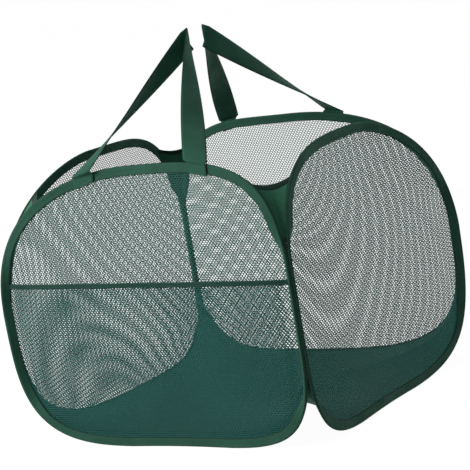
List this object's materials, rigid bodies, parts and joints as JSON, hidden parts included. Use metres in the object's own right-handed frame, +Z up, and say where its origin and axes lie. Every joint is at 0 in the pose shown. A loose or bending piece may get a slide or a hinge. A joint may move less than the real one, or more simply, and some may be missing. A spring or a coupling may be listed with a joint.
{
  "type": "pop up laundry hamper",
  "caption": "Square fabric laundry basket of sprung mesh panels sewn edge to edge, with a solid bottom, a flat front pocket and webbing carrying handles.",
  "frame": {"origin": "middle of the footprint, on the floor", "axes": "+X to the right along the front panel, +Y from the front panel to the back one, +Z up"},
  "size_m": [0.4606, 0.4539, 0.509],
  "materials": {
    "spring_steel": "bright flat spring strip",
    "edge_tape": "woven polyester tape, matt dark green",
    "mesh_cloth": "open hexagonal knitted mesh, dark green",
    "solid_cloth": "plain woven polyester, dark green",
    "elastic": "woven elastic tape",
    "webbing": "woven polypropylene webbing, dark green",
    "thread": "sewing thread"
  },
  "bodies": {
    "front": {"front_hoop": "spring_steel", "front_ferrule": "spring_steel", "front_binding": "edge_tape", "front_mesh": "mesh_cloth", "pocket_mesh": "mesh_cloth", "pocket_hem": "elastic", "bottom_panel": "solid_cloth", "front_right_gusset": "solid_cloth", "front_right_hem": "edge_tape", "front_right_seam": "thread", "left_front_gusset": "solid_cloth", "left_front_hem": "edge_tape", "left_front_seam": "thread", "front_handle_near_end": "webbing", "front_handle_far_end": "webbing"},
    "right": {"right_hoop": "spring_steel", "right_ferrule": "spring_steel", "right_binding": "edge_tape", "right_mesh": "mesh_cloth", "right_back_seam": "thread", "right_back_gusset": "solid_cloth", "right_back_hem": "edge_tape"},
    "back": {"back_hoop": "spring_steel", "back_ferrule": "spring_steel", "back_binding": "edge_tape", "back_mesh": "mesh_cloth", "back_left_seam": "thread", "back_left_gusset": "solid_cloth", "back_left_hem": "edge_tape", "back_handle_near_end": "webbing", "back_handle_far_end": "webbing"},
    "left": {"left_hoop": "spring_steel", "left_ferrule": "spring_steel", "left_binding": "edge_tape", "left_mesh": "mesh_cloth"},
    "front_handle": {"front_handle": "webbing"},
    "back_handle": {"back_handle": "webbing"}
  },
  "joints": [
    {"name": "fold", "type": "hinge", "parent": "front", "child": "right", "pos_m": [0.2243, -0.2173, 0.18], "axis": [0, 0, -1], "range_deg": [-75, 75], "stiffness_Nm_per_rad": 0.4, "deforming": ["bottom_panel", "front_right_gusset", "front_right_hem", "right_back_gusset", "right_back_hem", "back_left_gusset", "back_left_hem", "left_front_gusset", "left_front_hem"]},
    {"name": "right_back_fold", "type": "hinge", "parent": "right", "child": "back", "pos_m": [0.2243, 0.2173, 0.18], "axis": [0, 0, 1], "range_deg": [-75, 75]},
    {"name": "left_front_fold", "type": "hinge", "parent": "front", "child": "left", "pos_m": [-0.2243, -0.2173, 0.18], "axis": [0, 0, -1], "range_deg": [-75, 75]},
    {"name": "front_handle_swing", "type": "hinge", "parent": "front", "child": "front_handle", "pos_m": [-0.078, -0.20796, 0.35789], "axis": [0.9994, -0.0309, 0.0175], "range_deg": [0, 180]},
    {"name": "back_handle_swing", "type": "hinge", "parent": "back", "child": "back_handle", "pos_m": [0.078, 0.20796, 0.35789], "axis": [-0.9994, 0.0309, 0.0175], "range_deg": [0, 180]}
  ],
  "couplings": [
    {"joint": "right_back_fold", "follows": "fold", "ratio": 1},
    {"joint": "left_front_fold", "follows": "fold", "ratio": 1}
  ]
}
